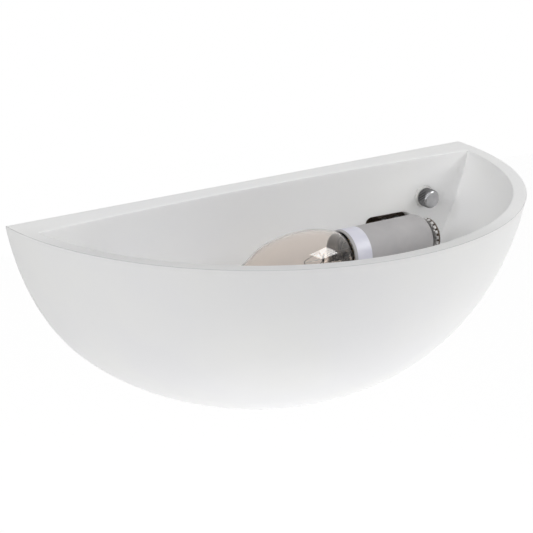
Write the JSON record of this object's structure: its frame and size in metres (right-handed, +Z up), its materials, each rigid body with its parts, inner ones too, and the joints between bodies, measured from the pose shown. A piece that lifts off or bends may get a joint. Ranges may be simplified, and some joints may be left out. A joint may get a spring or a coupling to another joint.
{
  "type": "uplighter wall sconce",
  "caption": "Half-round wall uplighter with an open top: a plaster bowl on a steel wall plate, held by thumb nuts, with a candle lamp lying in an arm-mounted lampholder.",
  "frame": {"origin": "on the wall plane, in the middle of the wall plate's two fixing slots, which is also the height of the lamp's axis", "axes": "+X along the wall to the right as the room sees it, +Y into the wall, +Z up"},
  "size_m": [0.3, 0.155, 0.12],
  "materials": {
    "plaster": "matte plaster, sealed, with a faint cloudy unevenness",
    "plate_steel": "satin black paint",
    "zinc_steel": "zinc plated",
    "pale_washer": "matte white",
    "chrome": "polished chrome",
    "bush_rubber": "matte black",
    "brass": "plain",
    "block_plastic": "satin",
    "lead_sleeve": "woven glass sleeve",
    "sleeve_satin": "satin silver-grey lacquer",
    "band_foil": "plain satin foil",
    "core_black": "black phenolic",
    "spring_steel": "plain",
    "ring_nickel": "satin grey",
    "clear_glass": "clear",
    "lamp_cap_metal": "plain",
    "insulator_glass": "black glass",
    "solder": "dull solder",
    "lamp_wire": "dark wire"
  },
  "bodies": {
    "fitting": {"plaster_bowl": "plaster", "wall_plate": "plate_steel", "right_stud": "zinc_steel", "left_stud": "zinc_steel", "stud_lock_nuts": "zinc_steel", "cable_bush": "bush_rubber", "earth_stud": "brass", "earth_washer": "zinc_steel", "earth_nut": "brass", "lampholder_arm": "zinc_steel", "arm_rivets": "zinc_steel", "terminal_block": "block_plastic", "block_clamps": "brass", "block_screws": "zinc_steel", "block_fixing_screw": "zinc_steel", "live_lead": "lead_sleeve", "neutral_lead": "lead_sleeve", "holder_sleeve": "sleeve_satin", "sleeve_band": "band_foil", "holder_core": "core_black", "thread_shell": "brass", "neutral_strip": "brass", "live_strip": "brass", "contact_spring": "spring_steel", "rear_ring": "ring_nickel", "holder_nipple": "zinc_steel", "nipple_nut": "zinc_steel", "core_screws": "zinc_steel"},
    "right_washer_body": {"right_washer": "pale_washer"},
    "left_washer_body": {"left_washer": "pale_washer"},
    "right_nut": {"right_thumb_nut": "chrome"},
    "left_nut": {"left_thumb_nut": "chrome"},
    "lamp_tip": {"lamp_tip_contact": "solder"},
    "lamp": {"lamp_glass": "clear_glass", "lamp_cap": "lamp_cap_metal", "lamp_insulator": "insulator_glass", "lamp_stem": "clear_glass", "lamp_lead_wires": "lamp_wire", "lamp_filament": "lamp_wire", "lamp_support": "lamp_wire"},
    "contact_pin": {"centre_contact": "brass"}
  },
  "joints": [
    {"name": "right_nut_travel", "type": "slide", "parent": "fitting", "child": "right_washer_body", "axis": [0, -1, 0], "range_m": [0, 0.0056]},
    {"name": "right_nut_turn", "type": "hinge", "parent": "right_washer_body", "child": "right_nut", "pos_m": [0.111, -0.0214, 0.0096], "axis": [0, -1, 0], "range_deg": [0, 2880]},
    {"name": "left_nut_travel", "type": "slide", "parent": "fitting", "child": "left_washer_body", "axis": [0, -1, 0], "range_m": [0, 0.0056]},
    {"name": "left_nut_turn", "type": "hinge", "parent": "left_washer_body", "child": "left_nut", "pos_m": [-0.111, -0.0214, 0.0096], "axis": [0, -1, 0], "range_deg": [0, 2880]},
    {"name": "lamp_travel", "type": "slide", "parent": "fitting", "child": "lamp_tip", "axis": [-1, 0, 0], "range_m": [0, 0.0127]},
    {"name": "lamp_turn", "type": "hinge", "parent": "lamp_tip", "child": "lamp", "pos_m": [0.04, -0.053, 0], "axis": [-1, 0, 0], "range_deg": [0, 1620]},
    {"name": "centre_contact_press", "type": "slide", "parent": "fitting", "child": "contact_pin", "axis": [1, 0, 0], "range_m": [0, 0.0012], "stiffness_N_per_m": 1000, "deforming": ["contact_spring"]}
  ],
  "couplings": [
    {"joint": "right_nut_travel", "follows": "right_nut_turn", "m_per_rad": 0.0001114},
    {"joint": "left_nut_travel", "follows": "left_nut_turn", "m_per_rad": 0.0001114},
    {"joint": "lamp_travel", "follows": "lamp_turn", "m_per_rad": 0.00044914}
  ]
}
